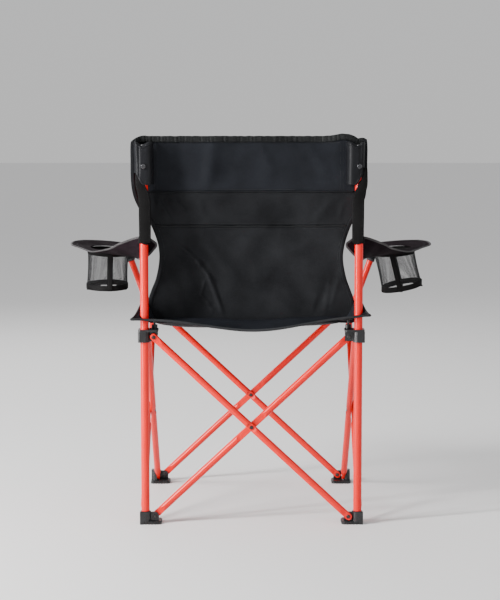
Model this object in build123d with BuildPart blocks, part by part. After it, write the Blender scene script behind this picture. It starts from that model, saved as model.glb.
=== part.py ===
from build123d import *
import os
from math import cos, radians, sin

os.makedirs("parts", exist_ok=True)

# Folding camp chair with four corner legs, scissor frames on all four sides and a sling body.
# Millimetres, +Z up, front towards -Y. The origin is on the floor at the middle of the chair.
# Left is the sitter's left, +X.

# ---- driving dimensions -------------------------------------------------------------------
BAR_LENGTH = 604.0        # pivot to pivot, the same on all eight scissor bars
OPEN_ANGLE = 43.0         # slope of the bars above the floor, chair open
PIVOT_INSET = 21.0        # pivot to corner axis
FOOT_PIVOT_Z = 18.0
BAR_RADIUS = 8.0
BAR_END_RADIUS = 8.3
BAR_WALL = 1.2
BAR_OFFSET = 5.2          # bar axis to the middle plane of its scissor
LUG_HALF = 3.0            # half the thickness of every pivot lug
LUG_ROOT = 6.0            # corner axis to where a lug starts, inside its boss
GAP = 0.15                # between faces that slide past each other
RIVET_RADIUS = 2.5
RIVET_CLEARANCE = 0.05
RIVET_HEAD_RADIUS = 4.6
RIVET_HEAD = 2.1
RIVET_TAPER = 30          # slope of the side of a rivet head, degrees
UPRIGHT_RADIUS = 9.5
UPRIGHT_WALL = 1.2
UPRIGHT_BOTTOM_Z = 5.0
UPRIGHT_TOP_Z = 860.0
POST_LEAN = 20.35         # outward lean of the arm posts, chair open
POST_LENGTH = 172.0       # pivot to top
POST_OUTSET = 12.0        # post pivot outboard of the hub axis
CLOTH = 2.6               # thickness of the plain sling panels
SEAT_SCREW_INSET = 21.5   # seat corner screw to corner axis, across and along the chair
SEAT_SCREW_Z = 455.5      # top of the stand-off under each seat corner
SEAT_HEAD_Z = 466.0
SEAT_REAR_HALF = 268.0    # half width of the seat at its rear hem
SEAT_FRONT_HALF = 243.0
SEAT_DEPTH_HALF = 262.0
SEAT_CORNER_Z = 468.0
SEAT_HEM_SAG = 27.0
SEAT_CENTRE_Z = 425.0
PANEL_GAP = 0.4           # between the seat's four panels
POCKET_BOTTOM_Z = 776.0
POCKET_TOP_Z = 867.0
SNAP_Z = 815.0
ARM_LOOP_Z = 640.0
CUP_X = 352.0
CUP_Y = -165.0
CUP_RADIUS = 50.0
CUP_WALL = 2.0
CUP_BOTTOM_Z = 500.0
CUP_TOP_Z = 599.0
FLANGE_THICKNESS = 5.0
CHEEK_OUTER = 12.2        # outer face of a hub's two cheeks, from the hub axis
STAND_OFF_RADIUS = 7.0    # stand-off under a corner of the seat
STAND_OFF_HOLE = 12.0     # depth of its screw hole
FLANGE_EDGE = 14.0        # corner axis to the outer edges of a collar's flange

# ---- places worked out from them ----------------------------------------------------------
HALF_SPAN = BAR_LENGTH * cos(radians(OPEN_ANGLE)) / 2
CORNER = HALF_SPAN + PIVOT_INSET
TOP_PIVOT_Z = FOOT_PIVOT_Z + BAR_LENGTH * sin(radians(OPEN_ANGLE))
POST_PIVOT_Z = TOP_PIVOT_Z + 6
FLANGE_Z = TOP_PIVOT_Z + 12
HUB_TOP_Z = FLANGE_Z + FLANGE_THICKNESS
TAB_INNER = LUG_HALF + GAP
TAB_OUTER = TAB_INNER + 7
LUG_RADIUS = 9.5
# Level sections of the backrest: height, half width, y at its edges, y at its middle.
BACK_SECTIONS = [
    (883, 264, 226, 218),
    (757, 264, 226, 206),
    (678, 221, 221, 193),
    (605, 207, 214, 186),
    (510, 219, 202, 181),
    (469, 222, 196, 182),
]
# Sections of an arm sling across the chair: y, then (x, z) from its inner edge to its outer edge.
ARM_SECTIONS = [
    (229.5, ((226, 648), (242, 650), (258, 648))),
    (120, ((236, 640), (280, 635), (324, 640))),
    (-60, ((272, 628), (352, 612), (436, 613))),
    (-165, ((288, 622), (364, 605), (446, 607))),
    (-259, ((300, 618), (352, 609), (410, 607))),
]
SIDES = {"left": 1, "right": -1}
ENDS = {"rear": 1, "front": -1}


def write(part, name):
    """Label one finished piece and write its file."""
    part.label = name
    export_step(part, f"parts/{name}.step")


# ---- scissor bars -------------------------------------------------------------------------
def bar_outline(wall):
    """Half of a bar seen edge on: pressed flat at the centre and at the end, wall mm inside the skin."""
    half = BAR_LENGTH / 2
    centre_flat, centre_ramp = 38, 46        # pressing on the inner face, from the centre
    dimple_flat, dimple_ramp = 7, 13         # dimple on the outer face, from the centre
    tab_flat, tab_ramp = 13, 30              # pressing at the end, inner face, from the end pivot
    outer_tab_flat, outer_tab_ramp = 11, 24  # the same on the outer face
    low, high = BAR_OFFSET - BAR_RADIUS + wall, BAR_OFFSET + BAR_RADIUS - wall
    flat, tab_inner, tab_outer = GAP + wall, TAB_INNER + wall, TAB_OUTER - wall
    end = half + BAR_RADIUS + 1
    return [
        (centre_flat, flat),
        (centre_ramp, low),
        (half - tab_ramp, low),
        (half - tab_flat, tab_inner),
        (end, tab_inner),
        (end, tab_outer),
        (half - outer_tab_flat, tab_outer),
        (half - outer_tab_ramp, high),
        (dimple_ramp, high),
        (dimple_flat, tab_outer),
    ]


def bar_solid(centre, along, side, wall):
    """The volume of a bar, wall mm inside its skin. side points from the scissor's middle plane to it."""
    half_outline = bar_outline(wall)
    mirrored = [(-u, w) for u, w in reversed(half_outline)]
    with BuildPart() as solid:
        with BuildSketch(Plane(centre, x_dir=along, z_dir=along.cross(side))):
            with BuildLine():
                Polyline(*half_outline, *mirrored, close=True)
            make_face()
        extrude(amount=BAR_RADIUS + 1, both=True)
        with BuildSketch(Plane(centre + side * BAR_OFFSET, z_dir=along).offset(-BAR_LENGTH)):
            Circle(BAR_RADIUS - wall)
        extrude(amount=2 * BAR_LENGTH, mode=Mode.INTERSECT)
        with BuildSketch(Plane(centre, x_dir=along, z_dir=side).offset(-2 * BAR_RADIUS)):
            SlotCenterToCenter(BAR_LENGTH, 2 * (BAR_END_RADIUS - wall))
        extrude(amount=5 * BAR_RADIUS, mode=Mode.INTERSECT)
    return solid.part


def make_bar(name, low_end, high_end, side):
    """One hollow bar from its lower pivot to its upper pivot, with three rivet holes."""
    along = (high_end - low_end).normalized()
    centre = (high_end + low_end) / 2
    skin = bar_solid(centre, along, side, 0)
    bore = bar_solid(centre, along, side, BAR_WALL)
    with BuildPart() as bar:
        add(skin)
        add(bore, mode=Mode.SUBTRACT)
        with BuildSketch(Plane(centre, x_dir=along, z_dir=side)):
            with Locations((-BAR_LENGTH / 2, 0), (0, 0), (BAR_LENGTH / 2, 0)):
                Circle(RIVET_RADIUS + RIVET_CLEARANCE)
        extrude(amount=3 * BAR_RADIUS, both=True, mode=Mode.SUBTRACT)
    write(bar.part, name)


def make_rivet(name, pivots):
    """Domed rivets that share one node: (centre, axis, length between their ends, headed ends)."""
    with BuildPart() as rivets:
        for centre, axis, length, headed in pivots:
            with BuildSketch(Plane(centre - axis * (length / 2), z_dir=axis)):
                Circle(RIVET_RADIUS)
            extrude(amount=length)
            for way in headed:
                seat = Plane(centre + way * (length / 2), z_dir=way)
                with BuildSketch(seat):
                    Circle(RIVET_HEAD_RADIUS)
                extrude(amount=RIVET_HEAD, taper=RIVET_TAPER)
    write(rivets.part, name)


# ---- corner fittings ----------------------------------------------------------------------
def make_lug(pivot, inward, low_z):
    """A plate with a rounded top at a pivot. inward points from the corner axis to the pivot."""
    reach = PIVOT_INSET - LUG_ROOT
    across = inward.cross(Vector(0, 0, 1))
    drop = pivot.Z - low_z
    with BuildPart() as lug:
        with BuildSketch(Plane(pivot, x_dir=inward, z_dir=across)):
            Circle(LUG_RADIUS)
            with Locations((-reach / 2, 0)):
                Rectangle(reach, 2 * LUG_RADIUS)
            with Locations((LUG_RADIUS / 2 - reach / 2, -drop / 2)):
                Rectangle(reach + LUG_RADIUS, drop)
            Circle(RIVET_RADIUS, mode=Mode.SUBTRACT)
        extrude(amount=LUG_HALF, both=True)
    return lug.part


def corner_frame(side, end):
    """Directions at one corner: its axis point on the floor, inwards across the chair, inwards along it."""
    return (
        Vector(side * CORNER, end * CORNER, 0),
        Vector(-side, 0, 0),
        Vector(0, -end, 0),
    )


def pivots_at(side, end, height):
    """The two pivots of a corner: on the rear or front scissor, and on the side scissor."""
    axis, across, along = corner_frame(side, end)
    level = Vector(0, 0, height)
    return axis + across * PIVOT_INSET + level, axis + along * PIVOT_INSET + level


def make_foot(name, side, end):
    """Moulded foot: scalloped pad, leg socket with a squared outer corner, and two pivot lugs."""
    pad_size, pad_thickness, pad_corner, pad_chamfer = 49, 7, 10, 2
    boss_height, boss_radius, boss_chamfer = 30, 12.5, 1.5
    scallop_radius, scallop_pitch, scallop_count = 1.7, 7, 5
    axis, across, along = corner_frame(side, end)
    pad_centre = axis + (across + along) * (pad_size / 2 - boss_radius)
    cross_pivot, side_pivot = pivots_at(side, end, FOOT_PIVOT_Z)
    cross_lug = make_lug(cross_pivot, across, pad_thickness / 2)
    side_lug = make_lug(side_pivot, along, pad_thickness / 2)
    with BuildPart() as foot:
        with BuildSketch(Plane(pad_centre)):
            RectangleRounded(pad_size, pad_size, pad_corner)
        extrude(amount=pad_thickness)
        chamfer(foot.faces().sort_by(Axis.Z)[-1].edges(), pad_chamfer)
        with BuildSketch(Plane(axis)):
            Circle(boss_radius)
            with Locations(((boss_radius / 2) * side, (boss_radius / 2) * end)):
                Rectangle(boss_radius, boss_radius)
        extrude(amount=boss_height)
        chamfer(foot.faces().sort_by(Axis.Z)[-1].edges(), boss_chamfer)
        add([cross_lug, side_lug])
        with BuildSketch(Plane(pad_centre)):
            with PolarLocations(pad_size / 2, 4):
                with GridLocations(scallop_pitch, scallop_pitch, 1, scallop_count):
                    Circle(scallop_radius)
        extrude(amount=pad_thickness, mode=Mode.SUBTRACT)
        if end > 0:
            with BuildSketch(Plane(axis + Vector(0, 0, UPRIGHT_BOTTOM_Z))):
                Circle(UPRIGHT_RADIUS)
            extrude(amount=boss_height, mode=Mode.SUBTRACT)
    write(foot.part, name)


def flange_screw(side, end):
    """Axis point, on the floor, of the screw that holds the seat's corner at one corner of the frame."""
    axis, across, along = corner_frame(side, end)
    return axis + (across + along) * SEAT_SCREW_INSET


def make_stand_off(side, end):
    """The stand-off under one corner of the seat, with its screw hole."""
    foot_point = flange_screw(side, end)
    with BuildPart() as stand_off:
        with BuildSketch(Plane(foot_point + Vector(0, 0, FLANGE_Z))):
            Circle(STAND_OFF_RADIUS)
        extrude(amount=SEAT_SCREW_Z - FLANGE_Z)
    return stand_off.part


def cut_stand_off_hole(side, end):
    """The screw hole in a stand-off, as a solid."""
    with BuildPart() as hole:
        with BuildSketch(Plane(flange_screw(side, end) + Vector(0, 0, SEAT_SCREW_Z))):
            Circle(RIVET_RADIUS)
        extrude(amount=-STAND_OFF_HOLE)
    return hole.part


def make_web(pivot, span_x, span_y, top_z):
    """The block that joins a lug to the flange above it."""
    low_z = pivot.Z + LUG_RADIUS / 2
    with BuildPart() as web:
        with BuildSketch(Plane(Vector(pivot.X, pivot.Y, low_z))):
            Rectangle(span_x, span_y)
        extrude(amount=top_z - low_z)
    return web.part


def make_collar(name, side):
    """Moulded sleeve that slides on a rear upright and carries two bar ends and a corner of the seat."""
    sleeve_radius, bore_radius = 12.5, UPRIGHT_RADIUS + GAP
    block_size, block_corner, block_shift = 21, 5, 4
    flange_size, flange_corner = 45, 6
    rib_depth, rib_length, rib_height, rib_pitch = 2, 14, 3, 9
    low_z = TOP_PIVOT_Z - 12
    axis, across, along = corner_frame(side, 1)
    cross_pivot, side_pivot = pivots_at(side, 1, TOP_PIVOT_Z)
    lugs = [
        make_lug(cross_pivot, across, TOP_PIVOT_Z - LUG_RADIUS),
        make_lug(side_pivot, along, TOP_PIVOT_Z - LUG_RADIUS),
        make_web(cross_pivot, 2 * LUG_RADIUS, 2 * LUG_HALF, FLANGE_Z),
        make_web(side_pivot, 2 * LUG_HALF, 2 * LUG_RADIUS, FLANGE_Z),
        make_stand_off(side, 1),
    ]
    screw_hole = cut_stand_off_hole(side, 1)
    flange_centre = axis + (across + along) * (flange_size / 2 - FLANGE_EDGE)
    with BuildPart() as collar:
        with BuildSketch(Plane(axis + Vector(0, 0, low_z))):
            Circle(sleeve_radius)
            with Locations((block_shift * side, block_shift)):
                RectangleRounded(block_size, block_size, block_corner)
        extrude(amount=FLANGE_Z - low_z)
        with BuildSketch(Plane(flange_centre + Vector(0, 0, FLANGE_Z))):
            RectangleRounded(flange_size, flange_size, flange_corner)
        extrude(amount=FLANGE_THICKNESS)
        add(lugs)
        add(screw_hole, mode=Mode.SUBTRACT)
        outer_face = axis + Vector((block_shift + block_size / 2 + 1) * side, block_shift, 0)
        for rib_z in (low_z + rib_pitch / 2, low_z + 3 * rib_pitch / 2):
            with BuildSketch(Plane(outer_face + Vector(0, 0, rib_z))):
                Rectangle(2 * rib_depth, rib_length)
            extrude(amount=rib_height, mode=Mode.SUBTRACT)
        with BuildSketch(Plane(axis + Vector(0, 0, low_z))):
            Circle(bore_radius)
        extrude(amount=3 * FLANGE_EDGE, mode=Mode.SUBTRACT)
    write(collar.part, name)


def make_hub(name, side):
    """Moulded front hub: two bar lugs, the clevis of the arm post and a corner of the seat."""
    cheek_inner, cheek_length, cheek_shift = BAR_RADIUS + GAP + 0.1, 32, 4
    bridge_thickness, bridge_inset, corner_radius = 7, 8.5, 4
    flange_width, flange_length, flange_inset, flange_shift = 25, 44.4, 17.5, 10
    web_reach = 8
    low_z = TOP_PIVOT_Z - 12
    axis, across, along = corner_frame(side, -1)
    cross_pivot, side_pivot = pivots_at(side, -1, TOP_PIVOT_Z)
    web_pivot = side_pivot + Vector(-side * web_reach / 2, 0, 0)
    lugs = [
        make_lug(cross_pivot, across, TOP_PIVOT_Z - LUG_RADIUS),
        make_lug(side_pivot, along, TOP_PIVOT_Z - LUG_RADIUS),
        make_web(cross_pivot, 2 * LUG_RADIUS, 2 * LUG_HALF, FLANGE_Z),
        make_web(web_pivot, 2 * LUG_HALF + web_reach, 2 * LUG_RADIUS, HUB_TOP_Z),
        make_stand_off(side, -1),
    ]
    screw_hole = cut_stand_off_hole(side, -1)
    with BuildPart() as hub:
        with BuildSketch(Plane(axis + Vector(0, 0, low_z))):
            with Locations((-bridge_inset * side, 0)):
                Rectangle(bridge_thickness, 2 * CHEEK_OUTER)
            with Locations((cheek_shift * side, 0)):
                with GridLocations(1, CHEEK_OUTER + cheek_inner, 1, 2):
                    Rectangle(cheek_length, CHEEK_OUTER - cheek_inner)
        extrude(amount=HUB_TOP_Z - low_z)
        fillet(hub.edges().filter_by(Axis.Y).group_by(SortBy.LENGTH)[0], corner_radius)
        with BuildSketch(Plane(axis + Vector(-flange_inset * side, flange_shift, FLANGE_Z))):
            RectangleRounded(flange_width, flange_length, corner_radius)
        extrude(amount=FLANGE_THICKNESS)
        add(lugs)
        add(screw_hole, mode=Mode.SUBTRACT)
        with BuildSketch(Plane(post_pivot_point(side), z_dir=(0, 1, 0))):
            Circle(RIVET_RADIUS)
        extrude(amount=2 * CHEEK_OUTER, both=True, mode=Mode.SUBTRACT)
    write(hub.part, name)


# ---- straight tubes -----------------------------------------------------------------------
def make_upright(side):
    """Rear upright from its foot to the top of the backrest, and the plug in its open end."""
    name = "left" if side > 0 else "right"
    plug_depth, plug_head, plug_round = 14, 4, 3
    axis = corner_frame(side, 1)[0]
    with BuildPart() as upright:
        with BuildSketch(Plane(axis + Vector(0, 0, UPRIGHT_BOTTOM_Z))):
            Circle(UPRIGHT_RADIUS)
            Circle(UPRIGHT_RADIUS - UPRIGHT_WALL, mode=Mode.SUBTRACT)
        extrude(amount=UPRIGHT_TOP_Z - UPRIGHT_BOTTOM_Z)
    write(upright.part, f"upright_{name}")
    with BuildPart() as plug:
        with BuildSketch(Plane(axis + Vector(0, 0, UPRIGHT_TOP_Z - plug_depth))):
            Circle(UPRIGHT_RADIUS - UPRIGHT_WALL)
        extrude(amount=plug_depth)
        with BuildSketch(Plane(axis + Vector(0, 0, UPRIGHT_TOP_Z))):
            Circle(UPRIGHT_RADIUS)
        extrude(amount=plug_head)
        fillet(plug.edges().sort_by(Axis.Z)[-1], plug_round)
    write(plug.part, f"upright_cap_{name}")


def post_pivot_point(side):
    """Where an arm post turns in its hub."""
    return Vector(side * (CORNER + POST_OUTSET), -CORNER, POST_PIVOT_Z)


def post_direction(side):
    """Up along an arm post, chair open."""
    lean = radians(POST_LEAN)
    return Vector(side * sin(lean), 0, cos(lean))


def make_post(side):
    """Arm post, and the cloth pocket over its top that joins it to the arm sling."""
    name = "left" if side > 0 else "right"
    below_pivot, pocket_depth, pocket_top = 9, 28, 2
    pocket_outer, pocket_inner = BAR_RADIUS + 1.6, BAR_RADIUS + 0.2
    pivot, up = post_pivot_point(side), post_direction(side)
    top = pivot + up * POST_LENGTH
    with BuildPart() as post:
        with BuildSketch(Plane(pivot - up * below_pivot, z_dir=up)):
            Circle(BAR_RADIUS)
            Circle(BAR_RADIUS - BAR_WALL, mode=Mode.SUBTRACT)
        extrude(amount=POST_LENGTH + below_pivot)
        with BuildSketch(Plane(pivot, z_dir=(0, 1, 0))):
            Circle(RIVET_RADIUS + RIVET_CLEARANCE)
        extrude(amount=2 * BAR_RADIUS, both=True, mode=Mode.SUBTRACT)
    write(post.part, f"arm_post_{name}")
    with BuildPart() as pocket:
        with BuildSketch(Plane(top - up * pocket_depth, z_dir=up)):
            Circle(pocket_outer)
        extrude(amount=pocket_depth + pocket_top)
        with BuildSketch(Plane(top - up * pocket_depth, z_dir=up)):
            Circle(pocket_inner)
        extrude(amount=pocket_depth + GAP, mode=Mode.SUBTRACT)
    write(pocket.part, f"arm_pocket_{name}")


# ---- sling panels -------------------------------------------------------------------------
def strip_face(plane, half_width, edge, middle):
    """Section of a sagging panel: a curved strip CLOTH thick, centred on the plane's y axis."""
    with BuildSketch(plane) as strip:
        with BuildLine():
            lower = ThreePointArc((-half_width, edge), (0, middle), (half_width, edge))
            upper_edge, upper_middle = edge + CLOTH, middle + CLOTH
            upper = ThreePointArc((-half_width, upper_edge), (0, upper_middle), (half_width, upper_edge))
            Line(lower @ 0, upper @ 0)
            Line(lower @ 1, upper @ 1)
        make_face()
    return strip.sketch


def make_seat_panel(name, first, second):
    """Triangular quarter of the seat, from one sagging hem to near the point where all four meet."""
    near, near_sag = 0.035, 0.3
    upright_clearance, screw_clearance, cut_low_z, cut_height = 3.5, 0.7, 400, 100
    faces = []
    for share, edge_z, sag in ((1, SEAT_CORNER_Z, SEAT_HEM_SAG), (near, SEAT_CENTRE_Z, near_sag)):
        start, end = Vector(*first) * share, Vector(*second) * share
        sideways = (end - start).normalized()
        middle = (start + end) / 2
        plane = Plane(middle, x_dir=sideways, z_dir=sideways.cross(Vector(0, 0, 1)))
        half_width = (end - start).length / 2 - PANEL_GAP
        faces.append(strip_face(plane, half_width, edge_z, edge_z - sag))
    with BuildPart() as panel:
        loft(faces, ruled=True)
        for side in SIDES.values():
            with BuildSketch(Plane((side * CORNER, CORNER, cut_low_z))):
                Circle(UPRIGHT_RADIUS + upright_clearance)
            extrude(amount=cut_height, mode=Mode.SUBTRACT)
            for end in ENDS.values():
                with BuildSketch(Plane(flange_screw(side, end) + Vector(0, 0, cut_low_z))):
                    Circle(RIVET_RADIUS + screw_clearance)
                extrude(amount=cut_height, mode=Mode.SUBTRACT)
    write(panel.part, name)


def make_back_panel(name, sections, ruled):
    """Panel of the backrest through level sections (height, half width, y at its edges, y at its middle)."""
    faces = [strip_face(Plane.XY.offset(z), *section) for z, *section in sections]
    with BuildPart() as panel:
        loft(faces, ruled=ruled)
    write(panel.part, name)


def make_back_pocket(side):
    """Pocket that slips over the top of an upright, and the snap on its rear face."""
    name = "left" if side > 0 else "right"
    outer_radius, bore_radius, top_thickness = 12.8, 10.4, 2
    tab_width, tab_thickness, tab_shift = 48, 2, 6
    snap_radius, snap_height, snap_round = 5.5, 2.6, 1.6
    axis = corner_frame(side, 1)[0]
    height = POCKET_TOP_Z - POCKET_BOTTOM_Z
    with BuildPart() as pocket:
        with BuildSketch(Plane(axis + Vector(0, 0, POCKET_BOTTOM_Z))):
            Circle(outer_radius)
            with Locations((-tab_shift * side, -outer_radius + 0.7 * tab_thickness)):
                Rectangle(tab_width, tab_thickness)
        extrude(amount=height)
        with BuildSketch(Plane(axis + Vector(0, 0, POCKET_BOTTOM_Z))):
            Circle(bore_radius)
        extrude(amount=height - top_thickness, mode=Mode.SUBTRACT)
    write(pocket.part, f"back_pocket_{name}")
    with BuildPart() as snap:
        with BuildSketch(Plane(axis + Vector(0, outer_radius + 0.1, SNAP_Z), z_dir=(0, 1, 0))):
            Circle(snap_radius)
        extrude(amount=snap_height)
        fillet(snap.edges().sort_by(Axis.Y)[-1], snap_round)
    write(snap.part, f"pocket_snap_{name}")


def make_strap(side):
    """Webbing from a pocket down the back of an upright, with the loop that holds the arm sling."""
    name = "left" if side > 0 else "right"
    inner, outer = UPRIGHT_RADIUS + 0.3, UPRIGHT_RADIUS + 2.1
    loop_height, webbing_width, webbing_shift, top_gap = 22, 22, 4, 0.5
    axis = corner_frame(side, 1)[0]
    with BuildPart() as strap:
        with BuildSketch(Plane(axis + Vector(0, 0, ARM_LOOP_Z))):
            Circle(outer)
        extrude(amount=loop_height)
        with BuildSketch(Plane(axis + Vector(webbing_shift * side, (inner + outer) / 2, ARM_LOOP_Z))):
            Rectangle(webbing_width, outer - inner)
        extrude(amount=POCKET_BOTTOM_Z - ARM_LOOP_Z - top_gap)
        with BuildSketch(Plane(axis + Vector(0, 0, ARM_LOOP_Z))):
            Circle(inner)
        extrude(amount=1.5 * loop_height, mode=Mode.SUBTRACT)
    write(strap.part, f"strap_{name}")


def make_arm(side):
    """Arm sling: a flared sheet from the upright to the arm post, with the hole of its cup holder."""
    name = "left" if side > 0 else "right"
    hole_inset = 4
    faces = []
    for y, points in ARM_SECTIONS:
        with BuildSketch(Plane((0, y, 0), x_dir=(1, 0, 0), z_dir=(0, -1, 0))) as section:
            with BuildLine():
                lower = Spline(*[(side * x, z) for x, z in points])
                upper = Spline(*[(side * x, z + CLOTH) for x, z in points])
                Line(lower @ 0, upper @ 0)
                Line(lower @ 1, upper @ 1)
            make_face()
        faces.append(section.sketch)
    with BuildPart() as arm:
        loft(faces)
        with BuildSketch(Plane((side * CUP_X, CUP_Y, CUP_BOTTOM_Z))):
            Circle(CUP_RADIUS - hole_inset)
        extrude(amount=2 * (CUP_TOP_Z - CUP_BOTTOM_Z), mode=Mode.SUBTRACT)
    write(arm.part, f"arm_sling_{name}")


def cup_section(low_z, high_z, low_radius, high_radius, floor_z):
    """One level of a cup holder about its own axis: a tapered wall, closed below floor_z."""
    with BuildPart() as level:
        with BuildSketch(Plane.XZ):
            with BuildLine():
                Polyline((0, low_z), (low_radius, low_z), (high_radius, high_z), (0, high_z), close=True)
            make_face()
            with BuildLine():
                inner_low, inner_high = low_radius - CUP_WALL, high_radius - CUP_WALL
                Polyline((0, floor_z), (inner_low, floor_z), (inner_high, high_z), (0, high_z), close=True)
            make_face(mode=Mode.SUBTRACT)
        revolve(axis=Axis.Z)
    return level.part


def make_cup_holder(side):
    """Cup that hangs from an arm sling: a mesh wall between a webbing base and a webbing rim."""
    name = "left" if side > 0 else "right"
    base_height, rim_height = 12, 9
    base_top, rim_bottom = CUP_BOTTOM_Z + base_height, CUP_TOP_Z - rim_height
    base_radius, wall_radius = CUP_RADIUS - 4, CUP_RADIUS - 3.5
    place = Location((side * CUP_X, CUP_Y, 0))
    mesh = cup_section(base_top, rim_bottom, wall_radius, CUP_RADIUS, base_top)
    base = cup_section(CUP_BOTTOM_Z, base_top, base_radius, wall_radius, CUP_BOTTOM_Z + CUP_WALL)
    rim = cup_section(rim_bottom, CUP_TOP_Z, CUP_RADIUS, CUP_RADIUS, rim_bottom)
    write(mesh.moved(place), f"cup_mesh_{name}")
    write(Compound([base.moved(place).solid(), rim.moved(place).solid()]), f"cup_webbing_{name}")


def make_seat_screw(name, side, end):
    """Screw and washer that hold one corner of the seat on its stand-off."""
    washer_radius, washer_thickness, head_radius, head_height, head_round = 8, 1, 5, 2.4, 1.6
    shank_low_z, head_low_z = SEAT_SCREW_Z - STAND_OFF_HOLE + 1, SEAT_HEAD_Z + washer_thickness
    foot_point = flange_screw(side, end)
    with BuildPart() as screw:
        with BuildSketch(Plane(foot_point + Vector(0, 0, shank_low_z))):
            Circle(RIVET_RADIUS)
        extrude(amount=head_low_z - shank_low_z)
        with BuildSketch(Plane(foot_point + Vector(0, 0, SEAT_HEAD_Z))):
            Circle(washer_radius)
        extrude(amount=washer_thickness)
        with BuildSketch(Plane(foot_point + Vector(0, 0, head_low_z))):
            Circle(head_radius)
        extrude(amount=head_height)
        fillet(screw.edges().sort_by(Axis.Z)[-1], head_round)
    write(screw.part, name)


# ---- the whole chair ----------------------------------------------------------------------
LEVEL_Z = {"low": FOOT_PIVOT_Z, "high": TOP_PIVOT_Z}
HEAD_PLAY = 0.1


def bar_rivet(pivot, side):
    """The rivet that joins a bar to a lug, headed at both ends."""
    length = TAB_OUTER + HEAD_PLAY + LUG_HALF
    return pivot + side * (length / 2 - LUG_HALF), side, length, (side, side * -1)


def post_pin(side):
    """The pin of an arm post, headed at the front only and flush with the hub's rear cheek."""
    return post_pivot_point(side), Vector(0, 1, 0), 2 * CHEEK_OUTER, (Vector(0, -1, 0),)


# Every bar: its lower pivot, its upper pivot and the side of the scissor's middle plane that it is on.
BARS = {}
for end_name, end in ENDS.items():
    left_low, left_high = (Vector(HALF_SPAN, end * CORNER, z) for z in LEVEL_Z.values())
    right_low, right_high = (Vector(-HALF_SPAN, end * CORNER, z) for z in LEVEL_Z.values())
    BARS[f"{end_name}_bar_a"] = (right_low, left_high, Vector(0, 1, 0))
    BARS[f"{end_name}_bar_b"] = (left_low, right_high, Vector(0, -1, 0))
for side_name, side in SIDES.items():
    rear_low, rear_high = (Vector(side * CORNER, HALF_SPAN, z) for z in LEVEL_Z.values())
    front_low, front_high = (Vector(side * CORNER, -HALF_SPAN, z) for z in LEVEL_Z.values())
    BARS[f"{side_name}_bar_a"] = (front_low, rear_high, Vector(-side, 0, 0))
    BARS[f"{side_name}_bar_b"] = (rear_low, front_high, Vector(side, 0, 0))

for bar_name, (low_pivot, high_pivot, bar_side) in BARS.items():
    make_bar(bar_name, low_pivot, high_pivot, bar_side)
for scissor in ("rear", "front", "left", "right"):
    low_pivot, high_pivot, bar_side = BARS[f"{scissor}_bar_b"]
    middle, length = (low_pivot + high_pivot) / 2, 2 * (TAB_OUTER + HEAD_PLAY)
    make_rivet(f"{scissor}_centre_rivet", [(middle, bar_side, length, (bar_side, bar_side * -1))])

for side_name, side in SIDES.items():
    for end_name, end in ENDS.items():
        for level, height in LEVEL_Z.items():
            pivots = pivots_at(side, end, height)
            rivets = [
                bar_rivet(pivot, bar_side)
                for low_pivot, high_pivot, bar_side in BARS.values()
                for pivot in pivots
                if min((pivot - low_pivot).length, (pivot - high_pivot).length) < 1
            ]
            if (end_name, level) == ("front", "high"):
                rivets.append(post_pin(side))
            make_rivet(f"{end_name}_{side_name}_{level}_rivets", rivets)
        make_foot(f"{end_name}_{side_name}_foot", side, end)
        make_seat_screw(f"{end_name}_{side_name}_seat_screw", side, end)
    make_collar(f"{side_name}_collar", side)
    make_hub(f"{side_name}_hub", side)
    make_upright(side)
    make_post(side)
    make_back_pocket(side)
    make_strap(side)
    make_arm(side)
    make_cup_holder(side)

rear_left, rear_right = ((side * SEAT_REAR_HALF, SEAT_DEPTH_HALF, 0) for side in (1, -1))
front_left, front_right = ((side * SEAT_FRONT_HALF, -SEAT_DEPTH_HALF, 0) for side in (1, -1))
make_seat_panel("seat_panel_rear", rear_left, rear_right)
make_seat_panel("seat_panel_front", front_left, front_right)
make_seat_panel("seat_panel_left", rear_left, front_left)
make_seat_panel("seat_panel_right", rear_right, front_right)
make_back_panel("back_panel_upper", BACK_SECTIONS[:2], True)
make_back_panel("back_panel_middle", BACK_SECTIONS[1:3], True)
make_back_panel("back_panel_lower", BACK_SECTIONS[2:], False)
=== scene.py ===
import math

import bpy
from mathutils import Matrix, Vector, noise


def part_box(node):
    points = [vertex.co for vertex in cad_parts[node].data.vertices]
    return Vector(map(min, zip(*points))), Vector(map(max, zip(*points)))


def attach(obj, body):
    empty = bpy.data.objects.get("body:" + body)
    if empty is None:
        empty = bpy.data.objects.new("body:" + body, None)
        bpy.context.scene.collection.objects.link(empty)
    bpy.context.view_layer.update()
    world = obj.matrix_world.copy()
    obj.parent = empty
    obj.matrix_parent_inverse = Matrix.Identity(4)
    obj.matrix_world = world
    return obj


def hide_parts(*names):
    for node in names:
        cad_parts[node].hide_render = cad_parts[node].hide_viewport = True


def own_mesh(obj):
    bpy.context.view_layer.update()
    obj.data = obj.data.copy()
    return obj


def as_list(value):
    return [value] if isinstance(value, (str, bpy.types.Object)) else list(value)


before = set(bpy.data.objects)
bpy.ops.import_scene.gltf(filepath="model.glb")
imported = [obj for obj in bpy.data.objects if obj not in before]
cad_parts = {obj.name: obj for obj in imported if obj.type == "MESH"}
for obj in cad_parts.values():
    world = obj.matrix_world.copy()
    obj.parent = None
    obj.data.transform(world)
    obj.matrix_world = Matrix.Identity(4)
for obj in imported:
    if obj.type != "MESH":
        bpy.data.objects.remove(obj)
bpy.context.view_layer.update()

# Lengths below are millimetres in the chair's own frame, and MM turns them into metres.
MM = 0.001
CLOTH = 1.3            # thickness of the sling cloth
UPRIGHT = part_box("upright_left")
CORNER = (UPRIGHT[0].x + UPRIGHT[1].x) / 2 / MM      # x and y of the left upright's axis
UPRIGHT_RADIUS = (UPRIGHT[1].x - UPRIGHT[0].x) / 2 / MM
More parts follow.
